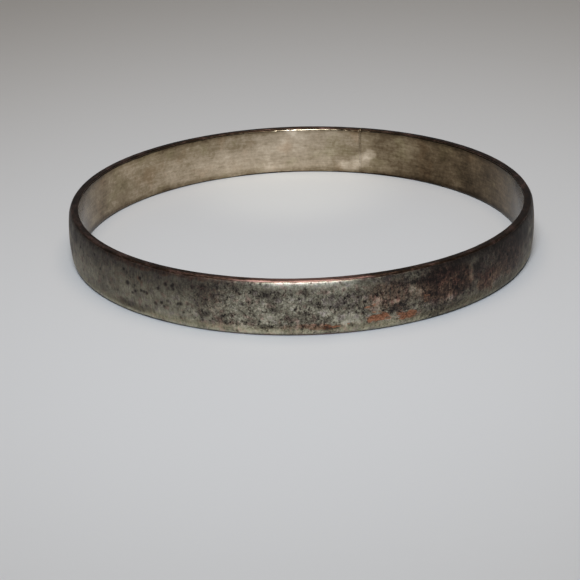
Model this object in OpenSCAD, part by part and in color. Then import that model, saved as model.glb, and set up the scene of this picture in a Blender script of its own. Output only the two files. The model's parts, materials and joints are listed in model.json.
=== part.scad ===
// Closed bangle bracelet: a strip of silver-clad copper, bent round and soldered end to end.
//
// Millimetres. The origin is on the ring's axis, in the plane of its lower edge, with +Z along
// the axis. The front of the ring faces -Y. The section is a low D: flat inside, narrow flat
// edges, and a low dome outside that rounds over at both shoulders.

/* [Band] */
// Inside diameter, the size that has to pass over the hand
inside_d = 63.5; // [50:0.5:80]
// Height of the band along its axis
band_h = 7.5; // [6.5:0.1:16]
// Thickness at the crown of the dome, silver included
wall = 1.55; // [1.45:0.01:1.8]
// Width of the flat edge at the top and at the bottom
edge_w = 0.9; // [0.8:0.01:0.95]

/* [Shoulders] */
// Radius of the shoulder, between the dome and the edge
shoulder_r = 1.5; // [1.4:0.05:1.6]
// Slope at which the shoulder meets the edge, in degrees
shoulder_slope = 45; // [40:1:45]
// Chamfer along both inner corners, for comfort
inner_chamfer = 0.15; // [0.1:0.01:0.2]

/* [Silver] */
// Thickness of the silver layer on each face
silver_t = 0.08; // [0.04:0.01:0.15]
// Height of the bare copper along each corner, where the silver ends
bare_h = 0.25; // [0.25:0.01:0.5]

/* [Seam] */
// Place of the soldered seam, in degrees from the front towards +X
seam_at = 162; // [0:1:359]
// Width of the solder between the two ends of the strip
seam_w = 0.3; // [0.2:0.05:0.8]

/* [Hidden] */
$fn = 180;

inner_r = inside_d / 2;
mid_z = band_h / 2;

// Centre of the lower shoulder arc, which meets the edge's outer corner at the slope
shoulder_x = inner_r + edge_w - shoulder_r * cos(shoulder_slope);
shoulder_z = shoulder_r * sin(shoulder_slope);

// The dome arc passes through the crown and touches both shoulder arcs from outside
crown_dx = shoulder_x - (inner_r + wall);
crown_dz = mid_z - shoulder_z;
dome_r = (pow(shoulder_r, 2) - pow(crown_dx, 2) - pow(crown_dz, 2)) / (2 * (crown_dx + shoulder_r));
dome_x = inner_r + wall - dome_r;
dome_half_angle = asin(crown_dz / (dome_r - shoulder_r));

// The strip starts and ends half a seam away from the seam's middle
seam_angle = 2 * asin(seam_w / 2 / inner_r);
strip_start = seam_at - 90 + seam_angle / 2;
strip_angle = 360 - seam_angle;

// Cuts a section to the height between two levels, outside the flat inner face
module between(low, high) {
    intersection() {
        children();
        translate([inner_r, low])
            square([2 * wall, high - low]);
    }
}

// Everything inside the domed outer surface, pulled in by a depth
module under_dome(depth) {
    touch_dz = (dome_r - depth) * sin(dome_half_angle);
    intersection() {
        translate([dome_x, mid_z])
            circle(r = dome_r - depth, $fn = 720);
        union() {
            translate([inner_r - wall, mid_z - touch_dz])
                square([3 * wall, 2 * touch_dz]);
            for (z = [shoulder_z, band_h - shoulder_z])
                translate([shoulder_x, z])
                    circle(r = shoulder_r - depth);
        }
    }
}

// Section of the whole band, with its inner corners chamfered
module band_section() {
    difference() {
        between(0, band_h)
            under_dome(0);
        for (z = [0, band_h])
            translate([inner_r, z])
                rotate(45)
                    square(inner_chamfer * sqrt(2), center = true);
    }
}

module outer_skin_section() {
    between(bare_h, band_h - bare_h)
        difference() {
            under_dome(0);
            under_dome(silver_t);
        }
}

module inner_skin_section() {
    translate([inner_r, bare_h])
        square([silver_t, band_h - 2 * bare_h]);
}

// Turns a section through the whole strip, from one end to the other
module bent_strip() {
    rotate_extrude(angle = strip_angle, start = strip_start)
        children();
}

// Structural copper between the two silver layers, bare along its edges
module copper_core() {
    color([0.60, 0.33, 0.21])
        bent_strip()
            difference() {
                band_section();
                outer_skin_section();
                inner_skin_section();
            }
}

// Silver layer over the dome and the shoulders
module outer_silver() {
    color([0.50, 0.48, 0.43])
        bent_strip()
            outer_skin_section();
}

// Silver layer against the wrist
module inner_silver() {
    color([0.58, 0.52, 0.42])
        bent_strip()
            inner_skin_section();
}

// Hard solder that fills the gap between the two ends, through the whole section
module seam_solder() {
    color([0.72, 0.69, 0.60])
        rotate_extrude(angle = seam_angle, start = strip_start - seam_angle)
            band_section();
}

copper_core();
outer_silver();
inner_silver();
seam_solder();
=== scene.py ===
"""Looks of the closed bangle: silver-clad copper, worn and tarnished, on a pale studio floor.

Lengths are in millimetres until a mesh is made, angles in degrees. A place on the band is given by
T, the angle from the front towards +X, and z, the height above the floor.
"""

import json
import math

import bpy
import numpy as np
from mathutils import Matrix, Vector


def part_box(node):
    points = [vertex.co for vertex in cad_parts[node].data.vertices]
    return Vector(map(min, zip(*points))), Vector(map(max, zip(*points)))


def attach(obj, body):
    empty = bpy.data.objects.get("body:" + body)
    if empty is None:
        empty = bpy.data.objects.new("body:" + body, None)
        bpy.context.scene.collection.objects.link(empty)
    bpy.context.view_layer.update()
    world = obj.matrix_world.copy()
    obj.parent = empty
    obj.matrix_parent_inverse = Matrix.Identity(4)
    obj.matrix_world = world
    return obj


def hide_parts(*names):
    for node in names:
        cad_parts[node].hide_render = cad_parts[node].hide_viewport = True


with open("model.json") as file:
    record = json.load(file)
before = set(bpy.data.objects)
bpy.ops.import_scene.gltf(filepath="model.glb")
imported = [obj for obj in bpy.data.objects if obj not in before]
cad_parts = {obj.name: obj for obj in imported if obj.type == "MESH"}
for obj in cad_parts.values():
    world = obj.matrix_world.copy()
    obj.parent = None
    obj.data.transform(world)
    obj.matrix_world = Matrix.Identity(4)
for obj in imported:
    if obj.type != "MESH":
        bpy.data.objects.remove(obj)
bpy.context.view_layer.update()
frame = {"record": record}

MM = 0.001


# ---------------------------------------------------------------- sizes

# From the frame
MOUNTS = {m["name"]: m for m in frame["record"]["mounts"]}
INNER_R = MOUNTS["wrist_opening"]["dims"]["r_mm"]
OUTER_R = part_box("outer_silver")[1].x / MM
BAND_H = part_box("copper_core")[1].z / MM
BARE_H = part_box("outer_silver")[0].z / MM
SILVER_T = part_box("inner_silver")[1].x / MM - INNER_R

# The CAD's own values, which the frame doesn't hold
EDGE_W = 0.90
SHOULDER_R = 1.50
SHOULDER_SLOPE = math.radians(45)
INNER_ROUND = 0.15
SEAM_AT = 162.0
SEAM_W = 0.30

MID_Z = BAND_H / 2
RING = 2 * math.pi * INNER_R

# The strip runs once round from the seam, so T goes from STRIP_START to SEAM_AT
STRIP_START = SEAM_AT - 360
SEAM_HALF = math.degrees(math.asin(SEAM_W / 2 / INNER_R))

# Section arcs: a shoulder at each edge, and the dome that touches both
SHOULDER_X = INNER_R + EDGE_W - SHOULDER_R * math.cos(SHOULDER_SLOPE)
CROWN_DX = SHOULDER_X - OUTER_R
CROWN_DZ = MID_Z - SHOULDER_R * math.sin(SHOULDER_SLOPE)
DOME_R = (SHOULDER_R**2 - CROWN_DX**2 - CROWN_DZ**2) / (2 * (CROWN_DX + SHOULDER_R))
DOME_X = OUTER_R - DOME_R
TOUCH_DZ = DOME_R * CROWN_DZ / (DOME_R - SHOULDER_R)


# ---------------------------------------------------------------- camera

CAMERA_DISTANCE = 228.9
CAMERA_ELEVATION = 21.19
CAMERA_PAN = 0.47
CAMERA_TILT = -1.74
CAMERA_ROLL = -1.46
CAMERA_LENS = 97.7


def turn(degrees, axis):
    """Rotation about an axis."""
    return Matrix.Rotation(math.radians(degrees), 4, axis)


def make_camera():
    """Camera at the photograph's viewing angle, with the lens that gives its perspective."""
    data = bpy.data.cameras.new("camera")
    data.lens = CAMERA_LENS
    data.sensor_width = 36.0
    data.clip_start = 0.01
    data.clip_end = 20.0
    camera = bpy.data.objects.new("camera", data)
    bpy.context.scene.collection.objects.link(camera)
    rise = math.radians(CAMERA_ELEVATION)
    reach = CAMERA_DISTANCE * MM
    place = Matrix.Translation((0, -reach * math.cos(rise), reach * math.sin(rise)))
    aim = turn(90 - CAMERA_ELEVATION, "X") @ turn(CAMERA_PAN, "Y")
    camera.matrix_world = place @ aim @ turn(CAMERA_TILT, "X") @ turn(CAMERA_ROLL, "Z")
    bpy.context.scene.camera = camera


make_camera()


# ---------------------------------------------------------------- noise and places on the band

def smooth(t):
    """Eases a step from 0 to 1 at both ends."""
    return t * t * (3 - 2 * t)


def ramp(low, high, value):
    """0 below low, 1 above high, smooth between."""
    return smooth(np.clip((value - low) / (high - low), 0, 1))


def along(turn_at):
    """Distance along the strip from the front, for an angle."""
    return np.radians(turn_at) * INNER_R


def noise(u, v, size_u, size_v, seed):
    """Smooth noise from -1 to 1 over the unrolled band, with cells of the given size."""
    columns = int(RING / size_u) + 4
    rows = int(3 * BAND_H / size_v) + 4
    cells = np.random.RandomState(seed).uniform(-1, 1, (columns, rows))
    x = (u + RING) / size_u % (columns - 1)
    y = (v + BAND_H) / size_v % (rows - 1)
    i, j = x.astype(int), y.astype(int)
    s, t = smooth(x - i), smooth(y - j)
    low = cells[i, j] * (1 - s) + cells[i + 1, j] * s
    high = cells[i, j + 1] * (1 - s) + cells[i + 1, j + 1] * s
    return low * (1 - t) + high * t


def waves(layers, turn_at, z):
    """Sum of noises, each (amount, size along, size up, seed)."""
    u = along(turn_at)
    return sum(amount * noise(u, z, size_u, size_v, seed) for amount, size_u, size_v, seed in layers)


def noise_along(turn_at, size, row_h, seed):
    """Noise that changes only along the strip. row_h, its cell height, only picks the pattern."""
    u = along(turn_at)
    return noise(u, 0 * u, size, row_h, seed)


def patches(places, turn_at, z, ragged=1.0):
    """Sum of ragged soft-edged ovals, each (T, z, half width in degrees, half height, strength)."""
    u = along(turn_at)
    turn_at = turn_at + ragged * (noise(u, z, 1.3, 1.1, 91) + 0.6 * noise(u, z, 0.5, 0.5, 92))
    z = z + ragged * (0.25 * noise(u, z, 1.5, 1.0, 93) + 0.15 * noise(u, z, 0.5, 0.5, 94))
    total = np.zeros(turn_at.shape)
    for at, height, half_w, half_h, strength in places:
        reach = np.hypot((turn_at - at) / half_w, (z - height) / half_h)
        total += strength * (1 - ramp(0.5, 1.3, reach))
    return total


def stretches(stops, turn_at):
    """Value that goes smoothly through stops round the band, each (T, value)."""
    places, values = zip(*stops)
    step = np.interp(turn_at, places, np.arange(len(stops)))
    low = np.minimum(step.astype(int), len(stops) - 2)
    values = np.array(values)
    return values[low] + (values[low + 1] - values[low]) * smooth(step - low)


# ---------------------------------------------------------------- worn surfaces

# Waves in the worn faces, each (amount, size along, size up, seed)
OUTER_WAVES = [
    (0.020, 13.0, 6.0, 11), (0.009, 3.6, 2.4, 12), (0.004, 0.9, 0.9, 13), (0.003, 0.45, 0.45, 14),
]
INNER_WAVES = [(0.015, 11.0, 7.0, 31), (0.006, 2.8, 2.4, 32), (0.002, 0.6, 0.8, 33)]
OUTER_WEAR = 0.020

SMALL_PITS = 150
PIT_GROUPS = 11
FIRST_GROUP_AT = -43.0
GROUP_STEP = 1.45


def scatter_pits():
    """Small corrosion pits over the whole band, and loose groups of larger ones at the front
    left. Each is (T, z, radius, depth)."""
    rng = np.random.RandomState(5)
    pits = []
    for _ in range(SMALL_PITS):
        pits.append((rng.uniform(-190, 155), rng.uniform(1.0, 6.6),
                     rng.uniform(0.18, 0.34), rng.uniform(0.015, 0.035)))
    for k in range(PIT_GROUPS):
        at = FIRST_GROUP_AT + GROUP_STEP * k + rng.uniform(-0.4, 0.4)
        height = rng.uniform(2.3, 5.6)
        for _ in range(rng.randint(1, 5)):
            pits.append((at + rng.uniform(-0.8, 0.8), height + rng.uniform(-0.35, 0.35),
                         rng.uniform(0.24, 0.40), rng.uniform(0.032, 0.048)))
    return pits


PITS = scatter_pits()


def pit_depth(turn_at, z):
    """Depth of the pits at a place. Where pits meet, the deeper one counts."""
    depth = np.zeros(np.broadcast(turn_at, z).shape)
    for at, height, radius, deepest in PITS:
        near = np.abs(turn_at - at) < 2 * math.degrees(radius / INNER_R)
        apart = np.hypot(along(turn_at[near] - at), z[near] - height)
        depth[near] = np.maximum(depth[near], deepest * (1 - ramp(0.35, 1.0, apart / radius)))
    return depth


def outer_r(z):
    """Radius of the outer face at a height: the dome, or a shoulder beyond where they touch."""
    dz = np.abs(z - MID_Z)
    dome = DOME_X + np.sqrt(DOME_R**2 - dz**2)
    on_shoulder = np.clip(dz - CROWN_DZ, 0, SHOULDER_R)
    shoulder = SHOULDER_X + np.sqrt(SHOULDER_R**2 - on_shoulder**2)
    return np.where(dz < TOUCH_DZ, dome, shoulder)


def outer_normal(z):
    """Direction (radial, up) that the outer face looks in at a height."""
    step = 0.01
    slope = (outer_r(z + step) - outer_r(z - step)) / (2 * step)
    size = np.sqrt(1 + slope**2)
    return 1 / size, -slope / size


def outer_point(turn_at, z, sink=0.0):
    """Radius and height of a point on the worn outer face, sunk a little into the metal."""
    relief = waves(OUTER_WAVES, turn_at, z) - OUTER_WEAR - pit_depth(turn_at, z) - sink
    out, up = outer_normal(z)
    return outer_r(z) + relief * out, z + relief * up


def inner_point(turn_at, z, sink=0.0):
    """Radius and height of a point on the worn inner face, sunk a little into the metal."""
    return INNER_R + waves(INNER_WAVES, turn_at, z) + sink, z


def edge_dip(turn_at, seed):
    """How far an edge is worn down: a slow wander, fine unevenness and a few nicks."""
    dip = 0.020 + 0.016 * noise_along(turn_at, 9.0, 6.0, seed)
    dip += 0.006 * noise_along(turn_at, 0.8, 6.0, seed + 1)
    dip += 0.060 * ramp(0.80, 0.98, noise_along(turn_at, 1.4, 6.0, seed + 2))
    return dip


def front(turn_at):
    """1 at the front, where the silver reaches higher up the upper shoulder and a painted highlight lights
    it, and 0 elsewhere.
    """
    return ramp(-16, -3, turn_at) - ramp(7, 15, turn_at)


# How much further than in the CAD the silver reaches, down all round and up at the front
KEPT_H = 0.11


def uneven(turn_at, seed):
    """How far the silver's worn border strays from its plain height."""
    return 0.06 * noise_along(turn_at, 4.0, 5.0, seed) + 0.05 * noise_along(turn_at, 0.6, 5.0, seed + 1)


def silver_limits(turn_at, seed):
    """Heights where a silver layer begins and ends."""
    low = BARE_H - KEPT_H + uneven(turn_at, seed)
    high = BAND_H - BARE_H + KEPT_H * front(turn_at) - uneven(turn_at, seed + 2)
    return low, high


# ---------------------------------------------------------------- meshes

STRIP_STEPS = 1200
FACE_ROWS = 58
INSIDE_ROWS = 34
BACK_ROWS = 7

# The silver thins to FEATHER_T at its borders, over FEATHER_W
FEATHER_T = 0.012
FEATHER_W = 0.5

# Gap between the hidden back of the silver and the core, so that they never cross
UNDER_SILVER = 0.02

# The bare edge: where the outer face stops, where the flat starts, and how far the flat is worn
FACE_STOP = 0.04
FLAT_START = 0.06
FLAT_WORN = 0.008

SEAM_STEPS = 8
SEAM_PROUD = 0.012

OUTSIDE_SEED = 21
INSIDE_SEED = 41
TOP_EDGE_SEED = 61
BOTTOM_EDGE_SEED = 71


def strip_angles(first=STRIP_START + SEAM_HALF, last=SEAM_AT - SEAM_HALF, steps=STRIP_STEPS):
    """Angles along the strip, as a column."""
    return np.linspace(first, last, steps + 1)[:, None]


def ring_piece(name, angles, r, z):
    """Closed solid with one section loop for each angle. Its UV map, band, holds the distance
    along the strip and the distance along the loop, in millimetres."""
    count, points = r.shape
    around = np.radians(angles)
    place = np.stack([r * np.sin(around), -r * np.cos(around), z], -1) * MM
    i, j = np.meshgrid(np.arange(count - 1), np.arange(points), indexing="ij")
    k = (j + 1) % points
    quads = np.stack([i * points + j, (i + 1) * points + j, (i + 1) * points + k, i * points + k], -1)
    faces = quads.reshape(-1, 4).tolist()
    faces.append(list(range(points)))
    faces.append(list(range(count * points - 1, (count - 1) * points - 1, -1)))
    mesh = bpy.data.meshes.new(name)
    mesh.from_pydata(place.reshape(-1, 3).tolist(), [], faces)
    smooth_faces = [True] * (len(faces) - 2) + [False, False]
    mesh.polygons.foreach_set("use_smooth", smooth_faces)
    step = np.hypot(np.diff(r.mean(0)), np.diff(z.mean(0)))
    run = np.concatenate([[0], np.cumsum(step)])
    u = np.broadcast_to(along(angles), r.shape).reshape(-1)
    v = np.broadcast_to(run, r.shape).reshape(-1)
    corner = np.zeros(len(mesh.loops), int)
    mesh.loops.foreach_get("vertex_index", corner)
    band = mesh.uv_layers.new(name="band")
    band.data.foreach_set("uv", np.stack([u, v], -1)[corner].reshape(-1).astype(np.float32))
    mesh.update()
    piece = bpy.data.objects.new(name, mesh)
    bpy.context.scene.collection.objects.link(piece)
    return piece


def paint(piece, name, values):
    """Stores one number for each vertex, for the materials to read."""
    layer = piece.data.attributes.new(name, "FLOAT", "POINT")
    layer.data.foreach_set("value", np.ascontiguousarray(values, np.float32).reshape(-1))


def over(angles, heights):
    """Angles and heights as two arrays of one shape."""
    shape = np.broadcast(angles, heights).shape
    return np.broadcast_to(angles, shape), np.broadcast_to(heights, shape)


def layer_loops(angles, limits, point, rows):
    """Section loops of a silver layer: radius and height of its shown face, then of its hidden
    back. Also the T and z of each point, for painting."""
    low, high = limits
    turn_face, z_face = over(angles, low + (high - low) * np.linspace(0, 1, rows))
    turn_back, z_back = over(angles, low + (high - low) * np.linspace(1, 0, BACK_ROWS))
    inset = np.minimum(z_back - low, high - z_back)
    thick = FEATHER_T + (SILVER_T - FEATHER_T) * ramp(0, FEATHER_W, inset)
    face = point(turn_face, z_face)
    back = point(turn_back, z_back, thick)
    r = np.hstack([face[0], back[0]])
    z = np.hstack([face[1], back[1]])
    return r, z, np.hstack([turn_face, turn_back]), np.hstack([z_face, z_back])


def make_outer_skin():
    """Silver on the dome, with the T and z of its points."""
    angles = strip_angles()
    limits = silver_limits(angles, OUTSIDE_SEED)
    r, z, turn_at, height = layer_loops(angles, limits, outer_point, FACE_ROWS)
    return ring_piece("outer_skin", angles, r, z), turn_at, height


def make_inner_skin():
    """Silver against the wrist, with the T and z of its points. Its loops run the other way
    round, so that its faces look outwards."""
    angles = strip_angles()
    limits = silver_limits(angles, INSIDE_SEED)
    loops = layer_loops(angles, limits, inner_point, INSIDE_ROWS)
    r, z, turn_at, height = (values[:, ::-1] for values in loops)
    return ring_piece("inner_skin", angles, r, z), turn_at, height


def edge_loop(turn_at, outer_limit, inner_limit, seed, top):
    """Section points of one bare copper edge, from the outer face over the edge to the inner
    face: (radius, height) arrays. The lower edge is the upper one turned over."""
    flip = (lambda z: z) if top else (lambda z: BAND_H - z)
    dip = edge_dip(turn_at, seed)

    # Outer face, from the silver up to the edge
    rise = np.linspace(0, 1, 5)
    t, z = over(turn_at, outer_limit + (BAND_H - FACE_STOP - outer_limit) * rise)
    r_face, z_face = outer_point(t, flip(z))
    z_face = flip(z_face) - dip * rise

    # Flat of the edge
    flat = np.linspace(EDGE_W - FLAT_START, INNER_ROUND, 8)
    _, r_flat = over(turn_at, INNER_R + flat)
    grain = 0.006 * noise(along(turn_at), flat, 0.7, 0.3, seed + 5)
    z_flat = BAND_H - dip - FLAT_WORN + grain

    # Rounded inner corner
    bend = np.radians(np.linspace(0, 90, 5)[1:])
    _, r_bend = over(turn_at, INNER_R + INNER_ROUND * (1 - np.sin(bend)))
    z_bend = BAND_H - INNER_ROUND * (1 - np.cos(bend)) - dip

    # Inner face, down to the silver
    fall = np.linspace(0, 1, 3)[1:]
    corner_z = z_bend[:, -1:]
    t, z = over(turn_at, corner_z + (inner_limit - corner_z) * fall)
    r_wall, z_wall = inner_point(t, z)

    r = np.hstack([r_face, r_flat, r_bend, r_wall])
    z = np.hstack([z_face, z_flat, z_bend, z_wall])
    return r, flip(z)


def hidden_wall(angles, start, end, point, rows):
    """Section points of the core's face under a silver layer, from one border to the other."""
    t, z = over(angles, start + (end - start) * np.linspace(0.01, 0.99, rows))
    return point(t, z, SILVER_T + UNDER_SILVER)


def make_core():
    """Copper strip: bare edges at top and bottom, joined by walls that the silver covers."""
    angles = strip_angles()
    outer_low, outer_high = silver_limits(angles, OUTSIDE_SEED)
    inner_low, inner_high = silver_limits(angles, INSIDE_SEED)
    top = edge_loop(angles, outer_high, inner_high, TOP_EDGE_SEED, top=True)
    bottom = edge_loop(angles, BAND_H - outer_low, BAND_H - inner_low, BOTTOM_EDGE_SEED, top=False)
    inner_wall = hidden_wall(angles, inner_high, inner_low, inner_point, 4)
    outer_wall = hidden_wall(angles, outer_low, outer_high, outer_point, 12)
    r = np.hstack([top[0], inner_wall[0], bottom[0][:, ::-1], outer_wall[0]])
    z = np.hstack([top[1], inner_wall[1], bottom[1][:, ::-1], outer_wall[1]])
    core = ring_piece("core", angles, r, z)
    # Painted highlight: the copper is painted lighter at the front, where the light catches the edges
    rubbed_and_highlight = 0.25 * (ramp(-22, -8, angles) - ramp(8, 20, angles))
    paint(core, "tone", np.broadcast_to(rubbed_and_highlight, r.shape))
    return core


def make_seam():
    """Solder in the joint, filed nearly flush, so it stands a hair proud of both faces. Also the
    T and z of its points, and which of them are on the outer face."""
    angles = strip_angles(SEAM_AT - SEAM_HALF, SEAM_AT + SEAM_HALF, SEAM_STEPS)
    across = (angles - SEAM_AT) / SEAM_HALF
    proud = SEAM_PROUD * (1 - across**2)
    outer_t, outer_z = over(angles, np.linspace(FACE_STOP, BAND_H - FACE_STOP, 60))
    inner_t, inner_z = over(angles, np.linspace(BAND_H - INNER_ROUND, INNER_ROUND, 40))
    outer = outer_point(outer_t, outer_z, -proud)
    inner = inner_point(inner_t, inner_z, -proud)
    r = np.hstack([outer[0], inner[0]])
    z = np.clip(np.hstack([outer[1], inner[1]]), 0.0, BAND_H)
    outward = np.hstack([np.full(outer_t.shape, True), np.full(inner_t.shape, False)])
    seam = ring_piece("seam", angles, r, z)
    return seam, np.hstack([outer_t, inner_t]), np.hstack([outer_z, inner_z]), outward


# ---------------------------------------------------------------- shader graphs

class Graph:
    """A material's nodes, with short calls for the few kinds that are used."""

    def __init__(self, name):
        self.material = bpy.data.materials.new(name)
        self.material.use_nodes = True
        self.tree = self.material.node_tree
        self.shader = self.tree.nodes["Principled BSDF"]

    def put(self, socket, value):
        if isinstance(value, bpy.types.NodeSocket):
            self.tree.links.new(value, socket)
        else:
            socket.default_value = value

    def place(self, stretch_u=1.0, stretch_v=1.0):
        """The band UV, in millimetres, with each direction drawn out by a factor."""
        uv = self.tree.nodes.new("ShaderNodeUVMap")
        uv.uv_map = "band"
        scaled = self.tree.nodes.new("ShaderNodeVectorMath")
        scaled.operation = "MULTIPLY"
        self.put(scaled.inputs[0], uv.outputs["UV"])
        scaled.inputs[1].default_value = (1 / stretch_u, 1 / stretch_v, 1)
        return scaled.outputs[0]

    def noise(self, size, detail=2.0, rough=0.5, stretch_u=1.0, stretch_v=1.0, shift=0.0):
        """Noise with features of about the given size, roughly 0.3 to 0.7."""
        node = self.tree.nodes.new("ShaderNodeTexNoise")
        node.noise_dimensions = "4D"
        self.put(node.inputs["Vector"], self.place(stretch_u, stretch_v))
        node.inputs["W"].default_value = shift
        node.inputs["Scale"].default_value = 1 / size
        node.inputs["Detail"].default_value = detail
        node.inputs["Roughness"].default_value = rough
        return node.outputs["Fac"]

    def attribute(self, name):
        node = self.tree.nodes.new("ShaderNodeAttribute")
        node.attribute_name = name
        return node.outputs["Fac"]

    def ramp(self, value, low, high, to_low=0.0, to_high=1.0):
        node = self.tree.nodes.new("ShaderNodeMapRange")
        node.interpolation_type = "SMOOTHSTEP"
        for socket, number in zip(node.inputs[:5], (value, low, high, to_low, to_high)):
            self.put(socket, number)
        return node.outputs["Result"]

    def cover(self, share, pattern, soft=0.06):
        """Mask that covers about the given share of the surface, where the pattern is high."""
        level = self.sum((pattern, 1.0), (share, 0.5), (1.0, -0.25))
        return self.ramp(level, 0.5 - soft, 0.5 + soft)

    def sum(self, *terms):
        """Weighted sum of (value, weight) pairs."""
        total = None
        for value, weight in terms:
            node = self.tree.nodes.new("ShaderNodeMath")
            node.operation = "MULTIPLY_ADD"
            self.put(node.inputs[0], value)
            self.put(node.inputs[1], weight)
            self.put(node.inputs[2], 0.0 if total is None else total)
            total = node.outputs[0]
        return total

    def mix(self, share, first, second):
        """Blend of two colours."""
        node = self.tree.nodes.new("ShaderNodeMix")
        node.data_type = "RGBA"
        self.put(node.inputs[0], share)
        for socket, colour in zip(node.inputs[6:8], (first, second)):
            self.put(socket, colour if isinstance(colour, bpy.types.NodeSocket) else (*colour, 1))
        return node.outputs[2]

    def tint(self, share, colour, filter_colour):
        """The colour seen through a film of the given colour, over a share of the surface."""
        node = self.tree.nodes.new("ShaderNodeMix")
        node.data_type = "RGBA"
        node.blend_type = "MULTIPLY"
        self.put(node.inputs[0], share)
        self.put(node.inputs[6], colour)
        self.put(node.inputs[7], (*filter_colour, 1))
        return node.outputs[2]

    def palette(self, tone, stops):
        """Colour for a tone, through stops of (tone, colour)."""
        node = self.tree.nodes.new("ShaderNodeValToRGB")
        self.put(node.inputs["Fac"], tone)
        points = node.color_ramp.elements
        while len(points) < len(stops):
            points.new(1.0)
        for point, (at, colour) in zip(points, stops):
            point.position = at
            point.color = (*colour, 1)
        return node.outputs["Color"]

    def finish(self, colour, rough, metal, height, bump_mm):
        """Joins the results to the shader. height is 0 to 1, over bump_mm millimetres."""
        self.put(self.shader.inputs["Base Color"], colour)
        self.put(self.shader.inputs["Roughness"], rough)
        self.put(self.shader.inputs["Metallic"], metal)
        bump = self.tree.nodes.new("ShaderNodeBump")
        bump.inputs["Strength"].default_value = 1.0
        bump.inputs["Distance"].default_value = bump_mm * MM
        self.put(bump.inputs["Height"], height)
        self.put(self.shader.inputs["Normal"], bump.outputs["Normal"])
        return self.material


# ---------------------------------------------------------------- materials

# Colours from the darkest tone to the brightest, each (tone, linear RGB)
OUTSIDE_TONES = [
    (0.06, (0.014, 0.010, 0.007)), (0.16, (0.043, 0.034, 0.026)), (0.25, (0.107, 0.093, 0.071)),
    (0.35, (0.214, 0.197, 0.147)), (0.45, (0.355, 0.338, 0.258)), (0.60, (0.65, 0.62, 0.50)),
]
INSIDE_TONES = [
    (0.12, (0.040, 0.028, 0.016)), (0.22, (0.092, 0.066, 0.040)), (0.30, (0.163, 0.119, 0.073)),
    (0.42, (0.323, 0.257, 0.170)), (0.55, (0.570, 0.475, 0.358)), (0.66, (0.83, 0.71, 0.56)),
]
COPPER_TONES = [
    (0.35, (0.060, 0.030, 0.020)), (0.50, (0.19, 0.088, 0.052)), (0.62, (0.34, 0.155, 0.086)),
    (0.80, (0.50, 0.250, 0.150)),
]
EDGE_TONES = [
    (0.35, (0.018, 0.010, 0.006)), (0.52, (0.048, 0.027, 0.016)), (0.64, (0.14, 0.078, 0.062)),
    (0.80, (0.30, 0.170, 0.140)),
]

# Films of tarnish, which the metal is seen through
BROWN_FILM = (0.82, 0.59, 0.55)
MAUVE_FILM = (1.0, 0.84, 0.88)
SLATE_FILM = (0.95, 0.89, 1.0)
OLIVE_FILM = (1.0, 0.97, 0.87)
ROSE_FILM = (1.0, 0.94, 0.90)
GREEN_FILM = (0.97, 1.0, 0.94)


def worn_silver():
    """Outside: speckled grey silver, with brown films, and copper showing through in places."""
    g = Graph("worn_silver")
    painted = g.attribute("tone")
    contrast = g.attribute("contrast")
    brown = g.attribute("brown")

    # Patterns, from broad to fine
    broad = g.noise(2.2, 3, 0.55)
    cluster = g.ramp(g.noise(1.4, 3, 0.6, shift=12.4), 0.36, 0.60, 0.35, 1.3)
    mottle = g.sum((g.noise(1.0, 4, 0.65, shift=27.4), 1.0), (1.0, -0.5))
    speck = g.noise(0.50, 4, 0.72, shift=3.1)
    spots = g.ramp(g.noise(0.40, 3, 0.7, stretch_v=1.5, shift=21.3), 0.47, 0.37)
    drag = g.noise(0.26, 3, 0.65, stretch_u=4.0, shift=15.2)
    grain = g.noise(0.24, 2, 0.7, shift=5.3)
    streak = g.noise(0.22, 3, 0.6, stretch_v=5.0, shift=7.7)

    # Tone: how bright the silver is, from the painted tone and each pattern's share
    fine_share = g.sum((contrast, 0.8))
    mottle_share = g.sum((contrast, 0.45), (brown, 0.35))
    spot_share = g.sum((g.sum((cluster, contrast)), -0.24))
    streak_share = g.sum((brown, 0.22), (1.0, 0.25))
    fine = g.sum((speck, 1.0), (grain, 0.9), (1.0, -0.95))
    drift = g.sum((broad, 0.30), (spots, spot_share), (1.0, -0.12))
    strokes = g.sum((streak, 1.0), (1.0, -0.5))
    tone = g.sum((painted, 1.0), (fine, fine_share), (mottle, mottle_share), (drift, 1.0),
                 (strokes, streak_share))

    # Colour: the silver, then the films of tarnish over it
    hue = g.sum((g.noise(0.9, 3, 0.6, shift=9.2), 1.0), (g.attribute("hue"), 1.0))
    rubbed_and_highlight = g.sum((streak, 0.7), (speck, 0.6), (1.0, -0.15))
    colour = g.palette(tone, OUTSIDE_TONES)
    colour = g.tint(g.ramp(hue, 0.52, 0.66), colour, MAUVE_FILM)
    colour = g.tint(g.ramp(hue, 0.48, 0.34), colour, SLATE_FILM)
    colour = g.tint(g.attribute("olive"), colour, OLIVE_FILM)
    colour = g.tint(g.cover(brown, rubbed_and_highlight, 0.22), colour, BROWN_FILM)

    # Copper, where the silver has worn through
    smeared = g.sum((drag, 1.1), (speck, 0.8), (1.0, -0.45))
    bare = g.cover(g.attribute("copper"), smeared, 0.13)
    copper_tone = g.sum((drag, 0.9), (grain, 0.9), (speck, 0.6), (painted, 0.9), (1.0, -0.95))
    colour = g.mix(bare, colour, g.palette(copper_tone, COPPER_TONES))

    rough = g.sum((grain, 0.20), (tone, -0.20), (g.attribute("polish"), -0.08), (1.0, 0.54))
    metal = g.ramp(tone, 0.14, 0.34, 0.6, 1.0)
    height = g.sum((tone, 1.0), (grain, 0.3), (streak, 0.2))
    return g.finish(colour, rough, metal, height, bump_mm=0.024)


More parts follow.
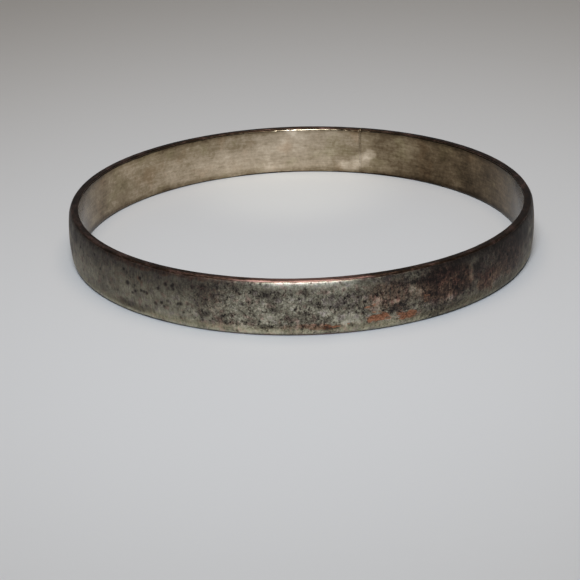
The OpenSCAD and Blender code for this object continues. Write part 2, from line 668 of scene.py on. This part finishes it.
def inside_silver():
    """Inside: satin silver under a warm tan film, darker towards the edges."""
    g = Graph("inside_silver")
    broad = g.noise(3.2, 3, 0.55, shift=1.3)
    brush = g.noise(0.30, 2, 0.6, stretch_u=7.0, shift=2.9)
    speck = g.noise(0.5, 3, 0.6, shift=4.4)
    hue = g.noise(4.5, 2, 0.5, shift=8.8)
    wobble = g.sum((broad, 0.35), (brush, 0.20), (speck, 0.22), (1.0, -0.385))
    tone = g.sum((g.attribute("tone"), 1.0), (wobble, 1.0))
    colour = g.palette(tone, INSIDE_TONES)
    colour = g.tint(g.ramp(hue, 0.54, 0.68), colour, ROSE_FILM)
    colour = g.tint(g.ramp(hue, 0.46, 0.32), colour, GREEN_FILM)
    rough = g.sum((brush, 0.15), (speck, 0.10), (1.0, 0.08))
    height = g.sum((brush, 0.6), (speck, 0.4))
    return g.finish(colour, rough, 1.0, height, bump_mm=0.006)


def bare_copper():
    """Edges: copper darkened red-brown, brighter where worn by rubbing and at the front, under a painted
    highlight.
    """
    g = Graph("bare_copper")
    rub = g.noise(1.1, 3, 0.6, stretch_u=3.0)
    grain = g.noise(0.14, 2, 0.6, stretch_u=3.0, shift=6.1)
    # The tone attribute carries the painted highlight at the front
    tone = g.sum((rub, 0.9), (grain, 0.5), (g.attribute("tone"), 1.0), (1.0, -0.20))
    rough = g.sum((grain, 0.2), (1.0, 0.34))
    return g.finish(g.palette(tone, EDGE_TONES), rough, 0.9, grain, bump_mm=0.010)


def hard_solder():
    """Seam: solder dulled to the tone of the silver beside it, with file marks."""
    g = Graph("hard_solder")
    marks = g.noise(0.10, 2, 0.6, stretch_u=8.0)
    tone = g.sum((g.attribute("tone"), 1.0), (marks, 0.4), (1.0, -0.2))
    rough = g.sum((marks, 0.2), (1.0, 0.30))
    return g.finish(g.palette(tone, INSIDE_TONES), rough, 1.0, marks, bump_mm=0.006)


# ---------------------------------------------------------------- wear and painted light, placed one by one

# Tone of the metal round the band, 0 dark to 1 bright, as (T, tone)
OUTSIDE_TONE = [
    (-198, 0.34), (-170, 0.30), (-140, 0.36), (-115, 0.32), (-90, 0.34), (-70, 0.30), (-55, 0.285),
    (-42, 0.315), (-25, 0.335), (-15, 0.38), (8, 0.375), (24, 0.335), (31, 0.205), (60, 0.195),
    (72, 0.27), (95, 0.33), (125, 0.30), (162, 0.36),
]
# Inside, brightest across the back: partly lighter tarnish and partly painted light where the key lamp
# falls on the inner back wall
INSIDE_TONE = [
    (-198, 0.41), (-187, 0.50), (-175, 0.57), (-160, 0.545), (-145, 0.50), (-125, 0.44),
    (-108, 0.35), (-92, 0.28), (-60, 0.32), (0, 0.38), (60, 0.34), (88, 0.24), (105, 0.24),
    (135, 0.255), (150, 0.335), (162, 0.42),
]

# Patches, each (T, z, half width in degrees, half height, change)

# Broad light and dark patches of the silver
TONE_AT = [
    (-14.7, 6.3, 0.9, 0.7, -0.13), (-8, 5.9, 3.4, 0.7, -0.13), (1.0, 6.2, 0.6, 0.7, -0.12),
    (5.5, 4.8, 3.8, 1.1, -0.09), (11, 4.5, 2.5, 1.3, -0.05), (0.5, 2.5, 5, 0.9, -0.09),
    (-12.5, 1.9, 4, 0.5, -0.08), (-7.5, 1.4, 1.5, 0.3, -0.12), (-20.6, 4.8, 0.6, 0.5, -0.14),
    (-23.3, 2.5, 0.8, 0.5, -0.10), (-19, 2.5, 4.5, 0.7, -0.09), (-42, 1.3, 6.0, 0.7, -0.13),
    (10, 2.1, 3, 0.9, 0.13), (6, 3.2, 1.8, 0.5, 0.06), (-7, 2.3, 2.5, 0.6, 0.05),
    (-6, 4.0, 3, 0.8, -0.04), (22, 2.6, 4, 0.6, -0.17), (6, 1.1, 2.6, 0.4, -0.15),
    (28, 5.8, 5, 0.8, -0.06), (18, 5.6, 4, 0.7, -0.04), (43.5, 5.3, 1.6, 0.9, -0.06),
    (-23, 4.9, 3.5, 1.6, -0.05), (9, 2.3, 4.5, 1.0, -0.04), (17, 2.9, 5, 0.7, -0.05),
    (14, 6.6, 7, 0.5, 0.08), (48, 1.6, 9, 1.2, 0.04), (57, 5.0, 9, 1.5, -0.03),
    (33, 1.3, 7, 0.8, -0.04), (30, 3.0, 3.5, 0.5, -0.08), (37.5, 3.1, 2.5, 0.6, -0.06),
    (-10, 1.1, 12, 0.5, 0.03), (-52, 1.8, 7, 1.2, -0.03),
    (-2.5, 5.6, 2.5, 0.7, 0.05), (10, 1.3, 3, 0.5, 0.11), (27, 6.8, 5, 0.5, 0.06),
    (43, 6.5, 5, 0.9, 0.05), (-3, 1.6, 8, 0.45, -0.055), (-18.5, 1.7, 4, 0.4, -0.06),
    (2, 5.0, 9, 0.8, 0.035), (-16.5, 0.7, 2.0, 0.4, -0.09), (-9, 0.7, 6.5, 0.4, 0.05),
    (8, 0.7, 4, 0.4, 0.04),
]

# Small flecks of bright metal, and a few dark ones
FLECKS_AT = [
    (16.8, 4.4, 0.9, 0.45, 0.16), (20.5, 3.75, 1.2, 0.28, 0.18), (24.8, 5.1, 1.2, 0.6, 0.15),
    (26.5, 4.4, 1.2, 0.5, 0.16), (30.3, 3.0, 1.3, 0.35, 0.11), (34.7, 2.5, 0.8, 0.8, 0.16),
    (41, 4.9, 0.9, 1.6, 0.14), (42.3, 6.3, 1.2, 0.4, 0.08), (51, 4.4, 1.0, 0.3, 0.10),
    (4.8, 3.0, 0.6, 0.5, 0.10), (6.6, 2.4, 0.5, 0.5, 0.10), (-5, 4.6, 1.2, 0.4, 0.08),
    (-2.3, 3.9, 0.8, 0.3, 0.10), (10.7, 1.2, 0.8, 0.25, -0.16), (-26.5, 3.6, 0.5, 0.3, -0.10),
]

# Brown film. The last row is on the sides and the back, which the photo doesn't show
BROWN_AT = [
    (19, 4.8, 7, 2.2, 0.5), (34, 4.6, 8, 2.6, 1.0), (3, 1.3, 4, 0.5, 0.8), (47, 3, 4, 1.6, 0.9),
    (57, 4.5, 9, 3, 0.6), (-39.5, 5.3, 1.5, 0.5, 0.5), (-35, 7.1, 20, 0.4, 0.6),
    (-21, 4.8, 4, 2, 0.25), (-2, 1.3, 4, 0.4, 0.4), (-19, 1.4, 5, 0.5, 0.25),
    (120, 3.6, 12, 2.4, 0.7), (-143, 3.2, 11, 2.2, 0.6), (-178, 2.4, 8, 1.6, 0.5), (-112, 5, 8, 1.6, 0.5),
]

# Copper showing through. The last three rows are on the sides and the back
COPPER_AT = [
    (5.8, 1.25, 2.6, 0.5, 0.85), (2.0, 1.6, 1.5, 0.25, 0.50), (15.4, 1.95, 1.2, 0.65, 0.95),
    (17.0, 1.75, 2.8, 0.7, 1.05), (23.0, 1.55, 3.2, 0.6, 1.02), (14.8, 3.6, 1.2, 1.0, 0.55),
    (19.5, 2.6, 5.0, 0.5, 0.46), (28.2, 3.4, 0.7, 1.2, 0.60), (47.5, 2.7, 2.2, 1.0, 0.30),
    (35, 4.8, 2.6, 0.3, 0.40), (31, 4.3, 1.8, 0.25, 0.40), (10.6, 1.3, 0.8, 0.2, 0.60),
    (118, 1.9, 3.4, 0.5, 0.95), (124, 2.6, 2.4, 0.3, 0.60), (133, 5.1, 2.2, 0.35, 0.70),
    (-141, 2.1, 3.0, 0.6, 0.95), (-135, 1.6, 2.2, 0.4, 0.80), (-153, 4.9, 1.8, 0.4, 0.65),
    (-176, 1.5, 2.8, 0.45, 0.90), (-118, 5.4, 2.0, 0.35, 0.60), (103, 4.6, 1.6, 0.5, 0.60),
]

# Leaning of the hue, up towards mauve and down towards slate
HUE_AT = [
    (45, 4.6, 4, 1.6, 0.14), (35, 5.3, 6, 1.3, 0.12), (20, 4.6, 5, 1.0, 0.06), (0, 2.5, 7, 1.0, 0.05),
    (-15, 2.4, 8, 0.9, 0.06), (8, 4.7, 4.5, 1.2, -0.10), (33, 2.6, 4, 0.8, -0.12), (10, 2.2, 3, 0.8, -0.08),
]

# Strength of the fine speckle
CONTRAST_AT = [
    (-3, 3.8, 24, 4.5, 0.65), (28, 3.8, 14, 4.5, 0.60), (-3, 1.0, 24, 0.4, -0.25),
    (10.5, 2.0, 2.5, 0.7, -0.4), (-3, 6.6, 10, 0.6, -0.3), (52, 3.8, 10, 4.5, 0.3),
    (-4, 1.6, 14, 0.5, 0.2), (128, 3.8, 32, 4.5, 0.45), (-150, 3.8, 45, 4.5, 0.45),
    (-192, 3.8, 12, 4.5, 0.2),
]

# Inside of the back, with T from 0 to 360: a pale smear beside the seam, a painted highlight as a bright
# spot by the upper edge, and a dull stretch beyond it
INSIDE_TONE_AT = [
    (158.8, 3.3, 2.2, 1.0, 0.14), (161.5, 2.3, 2.8, 1.1, 0.16), (165, 1.1, 3.6, 1.0, 0.14),
    (182.3, 7.0, 1.8, 0.9, 0.14), (205, 6.6, 22, 2.4, -0.10),
]

# Tone of the seam on the outer face
SEAM_OUTSIDE = 0.33

# Number of blots scattered over the sides and the back
BLOTS = 160

# How much a pit darkens the metal, per millimetre of its depth
PIT_SHADE = 5.0


def scatter_blots():
    """Light and dark blots all over the sides and the back, as patches."""
    rng = np.random.RandomState(8)
    blots = []
    for _ in range(BLOTS):
        at = (rng.uniform(60, 290) - STRIP_START) % 360 + STRIP_START
        blots.append((at, rng.uniform(1.0, 6.8), rng.uniform(0.8, 4.5), rng.uniform(0.3, 1.5),
                      rng.uniform(-0.08, 0.06)))
    return blots


def from_edge(height):
    """Distance to the nearer edge of the band."""
    return np.minimum(height, BAND_H - height)


def outside_tone(turn_at, height):
    """Tone of the outer face: the stretches and patches, the pits, and how it fades up the band, which is
    painted light: a painted reflection of the floor low down, painted shade on the upper shoulder, and a
    painted highlight at the front.
    """
    tone = stretches(OUTSIDE_TONE, turn_at) + patches(TONE_AT, turn_at, height)
    tone += patches(scatter_blots(), turn_at, height, ragged=2.2)
    tone += patches(FLECKS_AT, turn_at, height, ragged=0.4)
    tone -= PIT_SHADE * pit_depth(turn_at, height)

    # Painted light: brighter towards the lower edge, a painted floor reflection, and darker on the upper
    # shoulder except at the front, painted shade with some tarnish by the top edge
    front_highlight = front(turn_at) * ramp(5.0, 6.2, height)
    tone += 0.08 * (1 - height / MID_Z) * (1 - front(turn_at))
    tone += 0.06 * (1 - ramp(0.4, 1.0, height))
    tone -= (0.06 * ramp(4.8, 6.6, height) + 0.03 * ramp(6.8, 7.3, height)) * (1 - front_highlight)
    # Painted highlight along the upper shoulder at the front
    return tone + 0.13 * front_highlight * ramp(6.2, 7.0, height)


def inside_tone(turn_at, height):
    """Tone of the inner face, darker by both edges, with the painted light at the back."""
    tone = stretches(INSIDE_TONE, turn_at)
    tone += patches(INSIDE_TONE_AT, turn_at % 360, height, ragged=0.6)
    return tone - 0.12 * (1 - ramp(0.3, 1.2, from_edge(height)))


def paint_outside(piece, turn_at, height):
    """Everything that worn_silver reads."""
    paint(piece, "tone", outside_tone(turn_at, height))
    paint(piece, "contrast", 0.25 + patches(CONTRAST_AT, turn_at, height))
    paint(piece, "brown", 0.1 + patches(BROWN_AT, turn_at, height))
    paint(piece, "copper", patches(COPPER_AT, turn_at, height) - 0.2)
    paint(piece, "hue", patches(HUE_AT, turn_at, height) + 0.12 * ramp(7.0, 7.3, height))
    paint(piece, "olive", 1 - ramp(0.8, 1.9, height))
    paint(piece, "polish", 1 - ramp(0.3, 1.0, from_edge(height)))


def paint_seam(piece, turn_at, height, outward):
    """The seam takes the tone of the silver beside it."""
    paint(piece, "tone", np.where(outward, SEAM_OUTSIDE, inside_tone(turn_at, height)))


# ---------------------------------------------------------------- the pieces

outer_skin, outer_turn, outer_height = make_outer_skin()
inner_skin, inner_turn, inner_height = make_inner_skin()
core = make_core()
seam, seam_turn, seam_height, seam_outward = make_seam()

paint_outside(outer_skin, outer_turn, outer_height)
paint(inner_skin, "tone", inside_tone(inner_turn, inner_height))
paint_seam(seam, seam_turn, seam_height, seam_outward)

for piece, material, node, slot in (
    (core, bare_copper(), "copper_core", "bare_copper"),
    (outer_skin, worn_silver(), "outer_silver", "worn_silver"),
    (inner_skin, inside_silver(), "inner_silver", "inside_silver"),
    (seam, hard_solder(), "seam_solder", "hard_solder"),
):
    piece.data.materials.append(material)
    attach(piece, "root")
    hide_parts(node)


# ---------------------------------------------------------------- studio

def make_floor():
    """Pale matt sheet under the bangle."""
    reach = 1.5
    mesh = bpy.data.meshes.new("floor")
    corners = [(-reach, -reach, 0), (reach, -reach, 0), (reach, reach, 0), (-reach, reach, 0)]
    mesh.from_pydata(corners, [], [(0, 1, 2, 3)])
    floor = bpy.data.objects.new("floor", mesh)
    bpy.context.scene.collection.objects.link(floor)
    g = Graph("floor")
    g.put(g.shader.inputs["Base Color"], (0.62, 0.625, 0.63, 1))
    g.put(g.shader.inputs["Roughness"], 0.7)
    mesh.materials.append(g.material)


def put_light(data, at, aim):
    """Places a light and aims it, in millimetres."""
    light = bpy.data.objects.new(data.name, data)
    bpy.context.scene.collection.objects.link(light)
    away = [a - b for a, b in zip(at, aim)]
    rise = math.degrees(math.atan2(away[2], math.hypot(away[0], away[1])))
    heading = math.degrees(math.atan2(away[0], -away[1]))
    place = Matrix.Translation([c * MM for c in at])
    light.matrix_world = place @ turn(heading, "Z") @ turn(90 - rise, "X")


def make_key():
    """Soft lamp in front of the bangle and above the camera. Its pool of light fades outwards."""
    data = bpy.data.lights.new("key", "SPOT")
    data.energy = 5.2
    data.color = (0.82, 0.90, 1.0)
    data.spot_size = math.radians(40)
    data.spot_blend = 1.0
    data.shadow_soft_size = 70 * MM
    put_light(data, (-20, -250, 330), (0, -10, 0))


def make_top():
    """Wide warm light straight above."""
    data = bpy.data.lights.new("top", "AREA")
    data.energy = 0.60
    data.color = (1.0, 0.84, 0.67)
    data.size = 300 * MM
    put_light(data, (0, 0, 400), (0, 0, 0))


def make_bounce():
    """Small warm pool on the floor, where the inside of the back throws the key light down."""
    data = bpy.data.lights.new("bounce", "SPOT")
    data.energy = 0.36
    data.color = (1.0, 0.95, 0.78)
    data.spot_size = math.radians(9)
    data.spot_blend = 1.0
    data.shadow_soft_size = 5 * MM
    put_light(data, (-1, 24, 250), (-1, 24, 0))


def make_world():
    """Faint pale light from all round."""
    world = bpy.data.worlds.new("studio")
    bpy.context.scene.world = world
    world.use_nodes = True
    background = world.node_tree.nodes["Background"]
    background.inputs["Color"].default_value = (0.90, 0.95, 1.0, 1)
    background.inputs["Strength"].default_value = 0.14


bpy.context.scene.view_settings.view_transform = "Standard"
make_floor()
make_key()
make_top()
make_bounce()
make_world()
